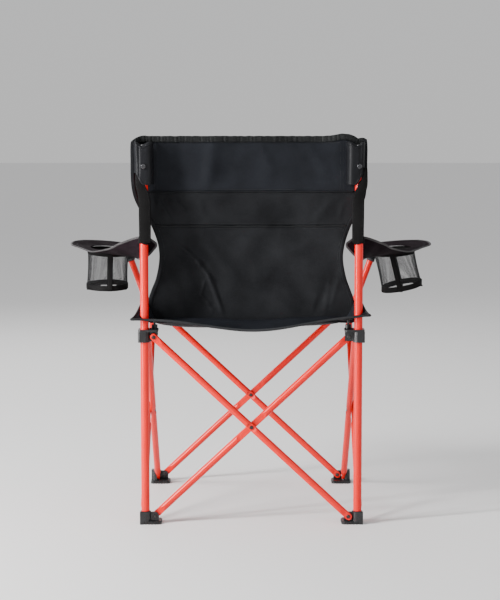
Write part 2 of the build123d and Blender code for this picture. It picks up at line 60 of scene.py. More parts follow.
SIDES = {"left": 1, "right": -1}
LEGS = {"left": "rear_left_leg", "right": "rear_right_leg"}
STITCH, STITCH_GAP, THREAD_WIDTH = 3.4, 1.3, 0.55
POST_TOP = Vector((313.7, -CORNER, 597.2))       # top of the left arm post
POST_LEAN = math.radians(20.35)                  # outward lean of the arm posts


# ---- small helpers ------------------------------------------------------------------------
def smooth(low, high, value):
    """0 below low, 1 above high, and a smooth step between."""
    t = min(1.0, max(0.0, (value - low) / (high - low)))
    return t * t * (3 - 2 * t)


def curve_through(rows, at):
    """Smooth interpolation of rows (position, value, value, ...) at a position."""
    rows = sorted(rows)
    at = min(max(at, rows[0][0]), rows[-1][0])
    index = max(i for i in range(len(rows) - 1) if rows[i][0] <= at)
    near = range(index - 1, index + 3)
    before, start, end, after = (rows[min(max(i, 0), len(rows) - 1)] for i in near)
    span = end[0] - start[0]
    t = (at - start[0]) / span
    values = []
    for k in range(1, len(start)):
        slope_in = slope_out = end[k] - start[k]
        if before is not start:
            slope_in = (end[k] - before[k]) / (end[0] - before[0]) * span
        if after is not end:
            slope_out = (after[k] - start[k]) / (after[0] - start[0]) * span
        values.append(
            start[k] * (2 * t**3 - 3 * t**2 + 1) + slope_in * (t**3 - 2 * t**2 + t)
            + end[k] * (3 * t**2 - 2 * t**3) + slope_out * (t**3 - t**2)
        )
    return values


def ripple(x, y, z, size):
    """Smooth noise from -1 to 1 with features about size mm across."""
    return noise.noise(Vector((x, y, z)) / size)


def crease(x, z, start, end, width, height):
    """A soft ridge along the line from start to end, fading at its ends."""
    along_x, along_z = end[0] - start[0], end[1] - start[1]
    t = ((x - start[0]) * along_x + (z - start[1]) * along_z) / (along_x**2 + along_z**2)
    off = math.hypot(x - start[0] - t * along_x, z - start[1] - t * along_z) / width
    fade = smooth(-0.15, 0.2, t) * smooth(-1.15, -0.8, -t)
    return height * fade * math.exp(-off * off)


def new_object(name, points, faces, uvs=None):
    """A smooth mesh object from points in mm, with one UV in metres for each point."""
    mesh = bpy.data.meshes.new(name)
    mesh.from_pydata([Vector(p) * MM for p in points], [], faces)
    if uvs:
        layer = mesh.uv_layers.new(name="flat")
        for loop in mesh.loops:
            layer.data[loop.index].uv = Vector(uvs[loop.vertex_index]) * MM
    mesh.shade_smooth()
    made = bpy.data.objects.new(name, mesh)
    bpy.context.scene.collection.objects.link(made)
    return made


def freeze(piece):
    """Turn a piece's modifiers into its mesh."""
    graph = bpy.context.evaluated_depsgraph_get()
    mesh = bpy.data.meshes.new_from_object(piece.evaluated_get(graph))
    piece.modifiers.clear()
    piece.data = mesh


def cloth(name, place, columns, rows, width, length, holes=(), thickness=CLOTH):
    """A sheet of cloth through place(u, v), with upright round holes (x, y, radius) cut through it."""
    points, uvs = [], []
    for j in range(rows + 1):
        for i in range(columns + 1):
            points.append(place(i / columns, j / rows))
            uvs.append((width * i / columns, length * j / rows))
    across = columns + 1
    faces = [
        (j * across + i, j * across + i + 1, (j + 1) * across + i + 1, (j + 1) * across + i)
        for j in range(rows)
        for i in range(columns)
    ]
    piece = new_object(name, points, faces, uvs)
    thick = piece.modifiers.new("thick", "SOLIDIFY")
    thick.thickness = thickness * MM
    thick.offset = 0
    freeze(piece)
    for x, y, radius in holes:
        bpy.ops.mesh.primitive_cylinder_add(vertices=48, radius=radius * MM, depth=2)
        cutter = bpy.context.object
        cutter.location = (x * MM, y * MM, 0.5)
        cut = piece.modifiers.new("hole", "BOOLEAN")
        cut.object = cutter
        cut.operation = "DIFFERENCE"
        cut.solver = "EXACT"
        bpy.context.view_layer.update()
        freeze(piece)
        bpy.data.objects.remove(cutter)
    return piece


def sweep(name, path, sideways, width, thickness, closed=False, corners=10):
    """A flat tape along path. sideways gives its width direction at each point, or one for all."""
    count = len(path)
    path = [Vector(p) for p in path]
    sideways = [Vector(s) for s in sideways] if isinstance(sideways, list) else [Vector(sideways)] * count
    points, uvs, run = [], [], 0.0
    for i in range(count):
        after = path[(i + 1) % count] if closed or i < count - 1 else path[i]
        before = path[i - 1] if closed or i > 0 else path[i]
        along = (after - before).normalized()
        side = (sideways[i] - along * sideways[i].dot(along)).normalized()
        up = side.cross(along)
        run += (path[i] - path[i - 1]).length if i else 0.0
        for k in range(corners):
            turn = 2 * math.pi * k / corners
            c, s = math.cos(turn), math.sin(turn)
            wide = math.copysign(abs(c) ** 0.45, c) * width / 2
            deep = math.copysign(abs(s) ** 0.6, s) * thickness / 2
            points.append(path[i] + side * wide + up * deep)
            uvs.append((wide, run))
    faces = []
    for i in range(count if closed else count - 1):
        j = (i + 1) % count
        for k in range(corners):
            n = (k + 1) % corners
            faces.append((i * corners + k, i * corners + n, j * corners + n, j * corners + k))
    if not closed:
        faces.append(tuple(reversed(range(corners))))
        faces.append(tuple(range((count - 1) * corners, count * corners)))
    return new_object(name, points, faces, uvs)


def stitches(name, path, normal):
    """A row of thread stitches along path, standing on the cloth along normal."""
    path = [Vector(p) for p in path]
    lift = Vector(normal).normalized() * (CLOTH / 2 + THREAD_WIDTH / 4)
    points, faces = [], []
    runs = [(a, b, (b - a).length) for a, b in zip(path, path[1:]) if (b - a).length > 1e-6]
    position, base = 0.0, 0.0
    for a, b, span in runs:
        along = (b - a) / span
        side = along.cross(lift).normalized()
        while position < base + span:
            offset = position - base
            first = a + along * offset + lift
            last = a + along * min(offset + STITCH, span) + lift
            middle = (first + last) / 2
            n = len(points)
            for centre, size in ((first, 0.35), (middle, 1.0), (last, 0.35)):
                for turn in (0, 72, 144, 216, 288):
                    c, s = math.cos(math.radians(turn)), math.sin(math.radians(turn))
                    points.append(centre + (side * c + lift.normalized() * s) * THREAD_WIDTH * size)
            for ring in (0, 5):
                for k in range(5):
                    m = (k + 1) % 5
                    faces.append((n + ring + k, n + ring + m, n + ring + 5 + m, n + ring + 5 + k))
            faces.append((n + 4, n + 3, n + 2, n + 1, n))
            faces.append((n + 10, n + 11, n + 12, n + 13, n + 14))
            position += STITCH + STITCH_GAP
        base += span
    return new_object(name, points, faces, [(p[0], p[2]) for p in points])


def join(name, *parts):
    """One piece from several, with the first one's materials first."""
    with bpy.context.temp_override(
        active_object=parts[0], object=parts[0],
        selected_objects=list(parts), selected_editable_objects=list(parts),
    ):
        bpy.ops.object.join()
    parts[0].name = name
    parts[0].data.name = name
    return parts[0]


# ---- materials ----------------------------------------------------------------------------
class Nodes:
    """Short names for building one material's node tree."""

    def __init__(self, name):
        self.material = bpy.data.materials.new(name)
        self.material.use_nodes = True
        self.tree = self.material.node_tree
        self.shader = self.tree.nodes["Principled BSDF"]

    def add(self, kind, **settings):
        node = self.tree.nodes.new(kind)
        for key, value in settings.items():
            setattr(node, key, value)
        return node

    def link(self, output, target):
        self.tree.links.new(output, target)

    def set(self, **values):
        for key, value in values.items():
            self.shader.inputs[key.replace("_", " ")].default_value = value

    def noise(self, vector, scale, detail=4.0):
        node = self.add("ShaderNodeTexNoise")
        node.inputs["Scale"].default_value = scale
        node.inputs["Detail"].default_value = detail
        self.link(vector, node.inputs["Vector"])
        return node.outputs["Fac"]

    def ramp(self, value, low, high, dark, light):
        node = self.add("ShaderNodeValToRGB")
        node.color_ramp.elements[0].position = low
        node.color_ramp.elements[1].position = high
        node.color_ramp.elements[0].color = (*dark, 1)
        node.color_ramp.elements[1].color = (*light, 1)
        self.link(value, node.inputs["Fac"])
        return node.outputs["Color"]

    def maths(self, operation, a, b):
        node = self.add("ShaderNodeMath", operation=operation)
        for value, target in ((a, node.inputs[0]), (b, node.inputs[1])):
            if isinstance(value, (int, float)):
                target.default_value = value
            else:
                self.link(value, target)
        return node.outputs[0]

    def bump(self, height, depth_mm, strength):
        node = self.add("ShaderNodeBump")
        node.inputs["Strength"].default_value = strength
        node.inputs["Distance"].default_value = depth_mm * MM
        self.link(height, node.inputs["Height"])
        self.link(node.outputs["Normal"], self.shader.inputs["Normal"])


def object_points(nodes):
    return nodes.add("ShaderNodeTexCoord").outputs["Object"]


def paint_material(name, dark, light):
    """Glossy powder coat: slight orange peel, soft tone changes and fine dull rub marks."""
    nodes = Nodes(name)
    here = object_points(nodes)
    tone = nodes.noise(here, 9.0)
    nodes.link(nodes.ramp(tone, 0.3, 0.7, dark, light), nodes.shader.inputs["Base Color"])
    rub = nodes.noise(here, 60.0, 8.0)
    nodes.link(nodes.ramp(rub, 0.45, 0.75, (0.30,) * 3, (0.42,) * 3), nodes.shader.inputs["Roughness"])
    nodes.set(Coat_Weight=0.22, Coat_Roughness=0.16, Specular_IOR_Level=0.22)
    nodes.bump(nodes.noise(here, 300.0, 2.0), 0.02, 0.25)
    return nodes.material


def moulded_material(name, dark, light, rough):
    """Moulded plastic or blackened metal: fine grain, uneven gloss and paler scuffs."""
    nodes = Nodes(name)
    here = object_points(nodes)
    tone = nodes.noise(here, 35.0, 6.0)
    nodes.link(nodes.ramp(tone, 0.35, 0.75, dark, light), nodes.shader.inputs["Base Color"])
    gloss = nodes.noise(here, 80.0)
    low, high = rough
    nodes.link(nodes.ramp(gloss, 0.3, 0.7, (low,) * 3, (high,) * 3), nodes.shader.inputs["Roughness"])
    nodes.bump(nodes.noise(here, 1100.0, 2.0), 0.08, 0.5)
    return nodes.material


def woven_material(name, dark, light, pitch_mm, depth_mm, rough, specular, ribs_only=False):
    """Plain weave of threads pitch_mm apart, or crosswise ribs only, with a soft uneven tone."""
    nodes = Nodes(name)
    flat = nodes.add("ShaderNodeUVMap", uv_map="flat").outputs["UV"]
    here = object_points(nodes)
    parts = nodes.add("ShaderNodeSeparateXYZ")
    nodes.link(flat, parts.inputs["Vector"])
    turns = 2 * math.pi / (pitch_mm * MM)
    warp = nodes.maths("SINE", nodes.maths("MULTIPLY", parts.outputs["X"], turns), 0.0)
    weft = nodes.maths("SINE", nodes.maths("MULTIPLY", parts.outputs["Y"], turns), 0.0)
    weave = weft if ribs_only else nodes.maths("MULTIPLY", warp, weft)
    soft = nodes.noise(here, 14.0, 5.0)
    fine = nodes.noise(here, 260.0, 3.0)
    tone = nodes.maths("ADD", nodes.maths("MULTIPLY", soft, 0.75), nodes.maths("MULTIPLY", fine, 0.25))
    tone = nodes.maths("ADD", tone, nodes.maths("MULTIPLY", weave, 0.06))
    nodes.link(nodes.ramp(tone, 0.32, 0.68, dark, light), nodes.shader.inputs["Base Color"])
    low, high = rough
    nodes.link(nodes.ramp(soft, 0.3, 0.7, (high,) * 3, (low,) * 3), nodes.shader.inputs["Roughness"])
    nodes.set(Specular_IOR_Level=specular)
    height = nodes.maths("ADD", nodes.maths("MULTIPLY", weave, 0.5), fine)
    nodes.bump(height, depth_mm, 0.6)
    return nodes.material


CORAL = paint_material("coral_paint", (0.66, 0.0045, 0.0028), (0.76, 0.0080, 0.0050))
PLASTIC = moulded_material("black_plastic", (0.005, 0.005, 0.0055), (0.013, 0.013, 0.0145), (0.26, 0.42))
RIVET = moulded_material("dark_rivet", (0.010, 0.008, 0.008), (0.026, 0.022, 0.020), (0.22, 0.36))
SNAP = moulded_material("dark_snap", (0.05, 0.05, 0.055), (0.11, 0.11, 0.115), (0.14, 0.22))
SNAP.node_tree.nodes["Principled BSDF"].inputs["Metallic"].default_value = 0.8
FABRIC = woven_material(
    "black_fabric", (0.0055, 0.0058, 0.0066), (0.0130, 0.0136, 0.0152),
    pitch_mm=0.9, depth_mm=0.12, rough=(0.55, 0.75), specular=0.06,
)
BLUISH = woven_material(
    "reinforced_fabric", (0.0062, 0.0069, 0.0088), (0.0128, 0.0140, 0.0174),
    pitch_mm=1.1, depth_mm=0.14, rough=(0.50, 0.70), specular=0.06,
)
# The arm cloth's dark purple-red tint is partly the cloth's own colour and partly painted red light
# bounced onto it.
ARM_CLOTH = woven_material(
    "arm_fabric_with_painted_bounce", (0.0052, 0.0032, 0.0044), (0.0112, 0.0070, 0.0092),
    pitch_mm=0.9, depth_mm=0.12, rough=(0.6, 0.8), specular=0.012,
)
COATED = woven_material(
    "coated_fabric", (0.0050, 0.0052, 0.0062), (0.0105, 0.0108, 0.0124),
    pitch_mm=0.9, depth_mm=0.08, rough=(0.38, 0.5), specular=0.12,
)
HEM = woven_material(
    "hem_cloth", (0.0040, 0.0044, 0.0046), (0.0150, 0.0158, 0.0160),
    pitch_mm=1.6, depth_mm=0.25, rough=(0.50, 0.65), specular=0.08,
)
# Tape of the lower back seam, a little paler than the panel cloth: a painted highlight along the seam's
# lower lip.
SEAM = woven_material(
    "seam_edge_painted_highlight", (0.0070, 0.0074, 0.0078), (0.0170, 0.0176, 0.0184),
    pitch_mm=1.6, depth_mm=0.3, rough=(0.5, 0.65), specular=0.08,
)
SEAT_HEM = woven_material(
    "seat_binding", (0.0120, 0.0125, 0.0135), (0.0260, 0.0270, 0.0290),
    pitch_mm=1.6, depth_mm=0.2, rough=(0.5, 0.65), specular=0.12,
)
# Binding for the arm edges and the post sleeve cuffs, paler than the arm cloth: a painted highlight along
# the edges where they catch the light.
TRIM = woven_material(
    "arm_binding_painted_highlight", (0.0280, 0.0260, 0.0270), (0.0560, 0.0520, 0.0540),
    pitch_mm=1.6, depth_mm=0.2, rough=(0.50, 0.65), specular=0.12,
)
WEBBING = woven_material(
    "black_webbing", (0.0040, 0.0038, 0.0039), (0.0090, 0.0086, 0.0087),
    pitch_mm=1.8, depth_mm=0.3, rough=(0.6, 0.8), specular=0.05, ribs_only=True,
)
THREAD = woven_material(
    "thread", (0.010, 0.010, 0.011), (0.022, 0.022, 0.024),
    pitch_mm=0.6, depth_mm=0.1, rough=(0.5, 0.6), specular=0.3,
)
MESH = woven_material(
    "mesh_yarn", (0.006, 0.006, 0.007), (0.014, 0.014, 0.015),
    pitch_mm=1.0, depth_mm=0.05, rough=(0.4, 0.6), specular=0.25,
)


def dress(piece, material, body):
    """Give a finished piece its material and the body that it rides on."""
    piece.data.materials.clear()
    piece.data.materials.append(material)
    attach(piece, body)
    return piece


def gather(pieces):
    """Give each soft piece its own copy of its mesh."""
    for piece in pieces:
        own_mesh(piece)


def gather_arm(side, pieces):
    """Give each piece of an armrest its own copy of its mesh."""
    gather(pieces)


# ---- the CAD nodes that show --------------------------------------------------------------
def dress_frame():
    """Materials of the frame's own nodes."""
    for name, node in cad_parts.items():
        if name.endswith(("rivet", "rivets", "screw")):
            material = RIVET
        elif name.startswith("pocket_snap"):
            material = SNAP
        elif name.endswith(("foot", "collar", "hub")) or name.startswith("upright_cap"):
            material = PLASTIC
        else:
            material = CORAL
        node.data.materials.clear()
        node.data.materials.append(material)


# ---- backrest -----------------------------------------------------------------------------
# Level sections of the backrest: height, left edge x, right edge x, y at the edges, y at the middle.
BACK = [
    (883, 262, -250, 227, 219),
    (874, 268, -257, 227, 218),
    (820, 269, -258, 227, 212),
    (776, 268, -257, 226, 207),
    (745, 262, -254, 226, 204),
    (717, 249, -242, 225, 199),
    (696, 232, -230, 223, 195),
    (678, 222, -221, 221, 193),
    (640, 209, -209, 217, 188),
    (605, 206, -205, 214, 185),
    (560, 214, -213, 208, 181),
    (527, 227, -225, 204, 180),
    (510, 232, -231, 202, 180),
    (458, 237, -237, 195, 182),
]
SEAM_UPPER_Z, SEAM_LOWER_Z, BACK_TOP_Z, BACK_BOTTOM_Z = 757, 681, 883, 458
SEAM_DROOP = 2.5        # how much the lower seam hangs at its middle
BACK_WIDTH = 528        # of the upper panels
HEM_INSET = 0.0036      # share of the width from the edge to the middle of the side hem
BACK_CREASES = [
    # start (x, z), end (x, z), width, height
    ((196, 662), (146, 618), 5, 3.0),
    ((156, 630), (116, 588), 4.5, 4.0),
    ((122, 598), (92, 554), 4.5, 4.4),
    ((98, 566), (66, 478), 4.5, 4.0),
    ((180, 646), (110, 560), 20, -4.0),
    ((126, 566), (100, 480), 14, -3.0),
    ((106, 552), (118, 512), 3.5, 2.2),
    ((116, 520), (96, 494), 3.5, 2.2),
    ((100, 504), (88, 480), 3.5, 1.6),
    ((150, 600), (142, 500), 9, 1.6),
    ((-208, 606), (-144, 478), 12, -2.4),
    ((-200, 560), (-184, 500), 5, 1.3),
    ((-180, 566), (-168, 484), 5, 1.1),
    ((-150, 520), (-138, 478), 6, 1.0),
    ((112, 652), (30, 560), 15, 2.6),
    ((20, 640), (-30, 540), 22, 2.2),
    ((-140, 640), (-40, 600), 15, 2.2),
    ((-60, 560), (-120, 500), 14, 1.8),
    ((86, 872), (98, 768), 14, 2.4),
    ((44, 868), (62, 776), 20, -1.8),
    ((-20, 862), (-52, 800), 12, 1.6),
    ((-130, 862), (-176, 790), 14, 2.2),
    ((214, 744), (184, 694), 5, 3.0),
    ((196, 750), (206, 706), 5, -2.4),
    ((176, 740), (150, 712), 6, 2.2),
    ((118, 738), (108, 700), 10, 1.2),
    ((60, 700), (-20, 690), 6, 1.6),
    ((-58, 745), (-90, 700), 10, 1.2),
    ((-188, 740), (-140, 690), 11, 2.0),
    ((-210, 736), (-196, 690), 6, 1.4),
]


def back_top(u):
    """Height of the backrest's top edge: level, with round corners and a dip by the right upright."""
    x = 268 - 526 * u
    rise = 5 * math.exp(-(((x + 212) / 26) ** 2)) - 8 * math.exp(-(((x + 240) / 9) ** 2))
    corner = 14 * (1 - min(1.0, u / 0.045)) ** 2 + 8 * (1 - min(1.0, (1 - u) / 0.03)) ** 2
    return BACK_TOP_Z - 1 + rise - corner


def back_point(u, z, lift=0.0):
    """A point of the backrest: u from 0 at its left edge to 1 at its right edge, at height z."""
    left, right, edge_y, middle_y = curve_through(BACK, z)
    x = left + (right - left) * u
    s = 2 * u - 1
    y = middle_y + (edge_y - middle_y) * s * s
    y += sum(crease(x, z, *row) for row in BACK_CREASES) * (1 - 0.6 * s**8)
    y += 1.9 * ripple(x, 0, z * 0.7, 62) * (1 - s**6) + 0.4 * ripple(x, 5, z * 0.6, 19)
    wrap = smooth(CORNER + 4, CORNER + 26, abs(x))
    y += 9.5 * wrap
    return Vector((x, y + lift, z))


def make_back_panels():
    """The three cloth panels of the backrest."""
    pieces = []
    for name, low, high, bulge, material in (
        ("back_panel_upper", SEAM_UPPER_Z, BACK_TOP_Z, 1.2, BLUISH),
        ("back_panel_middle", SEAM_LOWER_Z, SEAM_UPPER_Z, 1.6, FABRIC),
        ("back_panel_lower", BACK_BOTTOM_Z, SEAM_LOWER_Z, 2.2, FABRIC),
    ):
        def place(u, v, low=low, high=high, bulge=bulge):
            droop = SEAM_DROOP * math.sin(math.pi * u)
            z_low = low - droop if low == SEAM_LOWER_Z else low
            z_high = high - droop if high == SEAM_LOWER_Z else high
            if high == BACK_TOP_Z:
                z_high = back_top(u)
            z = z_low + (z_high - z_low) * v
            edge = min(v, 1 - v) * (z_high - z_low)
            pillow = bulge * (1 - math.exp(-edge / 5)) - bulge
            pucker = 0.8 * ripple(u * BACK_WIDTH, 3, 0, 6.5) * math.exp(-edge / 7)
            return back_point(u, z, pillow + pucker)

        rows = max(24, int((high - low) / 3))
        panel = cloth(f"{name}_cloth", place, 150, rows, BACK_WIDTH, high - low)
        dress(panel, material, "rear_left_leg")
        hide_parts(name)
        pieces.append(panel)
    return pieces


def back_line(z, start, end, steps, lift, droop=0.0):
    """Points across the backrest at height z, lift mm behind it and hanging by droop at the middle."""
    line = []
    for i in range(steps + 1):
        u = start + (end - start) * i / steps
        line.append(back_point(u, z - droop * math.sin(math.pi * u), lift))
    return line


def make_back_trim():
    """Ruffled top hem, seam tapes, side hems and stitching of the backrest."""
    ruffle = []
    for i in range(301):
        u = 0.016 + 0.972 * i / 300
        point = back_point(u, back_top(u) - 6.5, 0.6)
        point.y += 1.5 * ripple(point.x, 8, 0, 4.6) + 0.7
        point.z += 0.9 * ripple(point.x, 2, 0, 11)
        ruffle.append(point)
    pieces = [sweep("back_top_hem", ruffle, (0, 0, 1), 14.0, 5.0, corners=12)]
    for name, z, droop, width, start, end in (
        ("back_seam_upper", SEAM_UPPER_Z, 0.0, 3.0, 0.05, 0.95),
        ("back_seam_lower", SEAM_LOWER_Z - 1, SEAM_DROOP, 2.8, 0.015, 0.985),
    ):
        line = back_line(z, start, end, 220, 0.6, droop)
        for point in line:
            point.z += 1.1 * ripple(point.x, 1, z, 34) + 0.4 * ripple(point.x, 1, z, 9)
            point.y += 0.5 * ripple(point.x, 6, z, 12)
        pieces.append(sweep(name, line, (0, 0, 1), width, 3.0))
    for side, edge, inward in (("left", 0.0, 1), ("right", 1.0, -1)):
        heights = range(BACK_BOTTOM_Z, int(back_top(edge)) - 4, 5)
        line = [back_point(edge + HEM_INSET * inward, z, 0.2) for z in heights]
        across = [Vector((-inward, 0, 0))] * len(line)
        for step in range(9):
            u = edge + inward * (HEM_INSET + 0.05 * step / 8)
            line.append(back_point(u, back_top(u) - 3.0, 0.2))
            across.append(Vector((-inward * (1 - step / 8), 0, -step / 8)))
        pieces.append(sweep(f"back_side_hem_{side}", line, across, 9.0, 2.8))
    bottom = back_line(BACK_BOTTOM_Z + 2, 0.01, 0.99, 100, 0.0)
    pieces.append(sweep("back_bottom_hem", bottom, (0, 0, 1), 8.0, 2.6))
    for piece, material in zip(pieces, [HEM, FABRIC, SEAM] + [FABRIC] * 3):
        dress(piece, material, "rear_left_leg")
    rows = []
    for index, (z, droop, start, end) in enumerate((
        (BACK_TOP_Z - 15.5, 0.0, 0.08, 0.92),
        (SEAM_UPPER_Z + 4.5, 0.0, 0.09, 0.91),
        (SEAM_UPPER_Z - 3.5, 0.0, 0.06, 0.94),
        (SEAM_LOWER_Z + 5.5, SEAM_DROOP, 0.03, 0.97),
        (SEAM_LOWER_Z - 6.0, SEAM_DROOP, 0.03, 0.97),
    )):
        rows.append(stitches(f"row_{index}", back_line(z, start, end, 90, 0.0, droop), (0, 1, 0)))
    for x in (219, 213, -201, -207):
        line = []
        for z in range(SEAM_UPPER_Z + 6, BACK_TOP_Z - 14, 4):
            left, right = curve_through(BACK, z)[:2]
            line.append(back_point((left - x) / (left - right), z))
        rows.append(stitches(f"row_x_{x}", line, (0, 1, 0)))
    for side, first in ((1, 0.022), (-1, 0.978)):
        line = [back_point(first, z) for z in range(BACK_BOTTOM_Z + 8, BACK_TOP_Z - 10, 4)]
        rows.append(stitches(f"row_side_{side}", line, (0, 1, 0)))
    thread = dress(join("back_stitching", *rows), THREAD, "rear_left_leg")
    return pieces + [thread]


# ---- pockets, straps and arm loops --------------------------------------------------------
def make_pocket(side, name, inner, outer):
    """Coated cloth pocket over the top of an upright, reaching inner and outer mm to its two sides."""
    inner_x, outer_x, base_y = CORNER - inner, CORNER + outer, 228.4
    low_z, high_z = 775, 870

    def place(u, v):
        bulge = math.sqrt(1 - min(1.0, abs(2 * u - 1)) ** 4)
        dip = 8.0 * math.exp(-(((u - 0.55) / 0.22) ** 2))
        slant = 27.0 * smooth(0.45, 0.95, u)
        z = (low_z + slant) + (high_z - dip - low_z - slant) * v
        y = base_y + 24.6 * bulge
        x = inner_x + (outer_x - inner_x) * u
        y -= 5.0 * smooth(0.95, 1.0, v) * bulge
        fold = 1.6 * math.exp(-(((u - 0.86) / 0.07) ** 2)) * smooth(0.25, 0.6, v)
        fold -= 1.2 * math.exp(-(((u - 0.72) / 0.06) ** 2))
        y += fold + 0.4 * ripple(x, 9, z, 15) * bulge
        x += 1.4 * ripple(7, x, z, 30)
        return Vector((side * x, y, z))

    body = LEGS[name]
    pocket = cloth(f"back_pocket_{name}_cloth", place, 44, 60, 62, 93, thickness=1.5)
    dress(pocket, COATED, body)
    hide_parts(f"back_pocket_{name}")
    edge = [place(i / 40, 0.01) for i in range(41)]
    hem = sweep(f"pocket_hem_{name}", edge, (0, 0, 1), 5.0, 2.4)
    dress(hem, COATED, body)
    lip = [place(i / 40, 0.93) + Vector((0, 0.5, 0)) for i in range(41)]
    top = sweep(f"pocket_lip_{name}", lip, (0, 0, 1), 3.6, 2.4)
    dress(top, COATED, body)
    row = stitches(f"pocket_stitching_{name}", [place(0.06, j / 30) for j in range(2, 28)], (0, 1, 0))
    dress(row, THREAD, body)
    return [pocket, hem, top, row]


STRAP_TOP_Z, STRAP_BOTTOM_Z = 812, 644


def make_strap(side, name):
    """Flat webbing from behind the pocket down the back of the upright to the arm loop."""
    face_y = CORNER + UPRIGHT_RADIUS + 2.0
    # height, x of its middle, y, half width across
    route = [
        (STRAP_TOP_Z, 254, 247, 5.0),
        (799, 252.5, 249, 7.5),
        (773, 249, 252.5, 10.5),
        (757, 243.5, face_y, 12.6),
        (738, 240, face_y, 13.2),
        (690, 239, face_y, 13.2),
        (STRAP_BOTTOM_Z, 238.8, face_y, 13.0),
    ]

    def place(u, v):
        z = STRAP_TOP_Z - (STRAP_TOP_Z - STRAP_BOTTOM_Z) * v
        x, y, half = curve_through(route, z)
        across = (u - 0.5) * 2
        y += 0.5 * ripple(x, 4, z, 22) - 1.3 * across * across
        x += across * half + 0.8 * ripple(3, 3, z, 40)
        return Vector((side * x, y, z))

    body = LEGS[name]
    strap = cloth(f"strap_{name}_webbing", place, 14, 60, 25, 170, thickness=1.8)
    dress(strap, WEBBING, body)
    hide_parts(f"strap_{name}")
    ring = []
    for k in range(40):
        turn = 2 * math.pi * k / 40
        radius = UPRIGHT_RADIUS + 1.6 + 0.5 * math.cos(3 * turn)
        x, y = CORNER + radius * math.cos(turn), CORNER + radius * math.sin(turn)
        ring.append(Vector((side * x, y, STRAP_BOTTOM_Z + 4 + 1.5 * math.sin(2 * turn))))
    loop = sweep(f"arm_loop_{name}", ring, (0, 0, 1), 15.0, 2.2, closed=True)
    dress(loop, WEBBING, body)
    rows = [
        stitches(f"strap_row_{across}", [place(across, j / 60) for j in range(8, 60)], (0, 1, 0))
        for across in (0.12, 0.88)
    ]
    thread = join(f"strap_stitching_{name}", *rows)
    dress(thread, THREAD, body)
    return [strap, loop, thread]


# ---- seat ---------------------------------------------------------------------------------
SEAT_BOX = [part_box(f"seat_panel_{p}") for p in ("rear", "front")]
SEAT_REAR_HALF = SEAT_BOX[0][1].x / MM
SEAT_FRONT_HALF = SEAT_BOX[1][1].x / MM
SEAT_DEPTH_HALF = SEAT_BOX[0][1].y / MM
SCREW_INSET = 21.5      # corner screw to corner axis, across and along the chair
SCREW_CLOTH_Z = 464.6   # height of the cloth where a screw holds it
SEAT_HEM_Z = 474        # height of the hems near the corners
SEAT_HEM_SAG = 27       # how much the front and rear hems hang
SEAT_SIDE_SAG = 24      # and the side hems
SEAT_BOWL = 44          # how deep the middle hangs
SEAT_LAP = 2.0          # how far each piece reaches past the middle of the seat
SEAT_TILT = 4.5         # how much higher the right side hangs than the left


def seat_z(x, y):
    """Height of the seat cloth over the flat point (x, y)."""
    t = max(-1.0, min(1.0, y / SEAT_DEPTH_HALF))
    half = SEAT_FRONT_HALF + (SEAT_REAR_HALF - SEAT_FRONT_HALF) * (t + 1) / 2
    s = max(-1.0, min(1.0, x / half))
    hem = math.cos(math.pi / 2 * min(1.0, abs(s + 0.04))) ** 2.5
    side_sag = math.cos(math.pi / 2 * min(1.0, abs(t))) ** 1.4
    rear, front = smooth(0.0, 1.0, t), smooth(0.0, 1.0, -t)
    z = SEAT_HEM_Z - SEAT_TILT * s * (0.6 + 0.4 * t)
    z -= SEAT_HEM_SAG * hem * (rear + front) * smooth(0.3, 1.0, abs(t))
    z -= SEAT_SIDE_SAG * side_sag * smooth(0.2, 1.0, abs(s)) * (1 - 0.3 * rear)
    bowl = (1 - s * s) * (1 - t * t)
    z -= SEAT_BOWL * bowl**0.8
    # the seat rises to the backrest, and its rear corners stand up round the uprights
    z += 27 * math.exp(-(((y - 190) / 34) ** 2)) * (1 - abs(s) ** 2.2)
    z += 40 * math.exp(-(((y - 212) / 27) ** 2)) * smooth(230, 258, abs(x))
    z += (1.9 * ripple(x, y, 0, 75) + 0.8 * ripple(x, y, 7, 28)) * (0.3 + bowl)
    for corner_x in (1, -1):
        for corner_y in (1, -1):
            off_x = x - corner_x * (CORNER - SCREW_INSET)
            off_y = y - corner_y * (CORNER - SCREW_INSET)
            near = math.exp(-(off_x**2 + off_y**2) / 330)
            z += (SCREW_CLOTH_Z - z) * near
    return z


def seat_point(x, y):
    """A point of the seat cloth, whose hems bow in a little between the corners."""
    t, s = y / SEAT_DEPTH_HALF, x / SEAT_REAR_HALF
    z = seat_z(x, y)
    tip = 17 * smooth(0.0, 0.4, t) * min(1.0, (1 - t) / 0.15)
    bow_x = (9 * (1 - t * t) + tip) * abs(s) ** 3
    bow_y = 5 * (1 - s * s) * abs(t) ** 3
    return Vector((x - math.copysign(bow_x, x), y - math.copysign(bow_y, y), z))


SEAT_CORNERS = {
    "rear_left": (SEAT_REAR_HALF + 6, SEAT_DEPTH_HALF),
    "rear_right": (-SEAT_REAR_HALF - 2, SEAT_DEPTH_HALF),
    "front_left": (SEAT_FRONT_HALF, -SEAT_DEPTH_HALF),
    "front_right": (-SEAT_FRONT_HALF, -SEAT_DEPTH_HALF),
}
SEAT_EDGES = {
    "rear": ("rear_left", "rear_right"),
    "front": ("front_right", "front_left"),
    "left": ("front_left", "rear_left"),
    "right": ("rear_right", "front_right"),
}


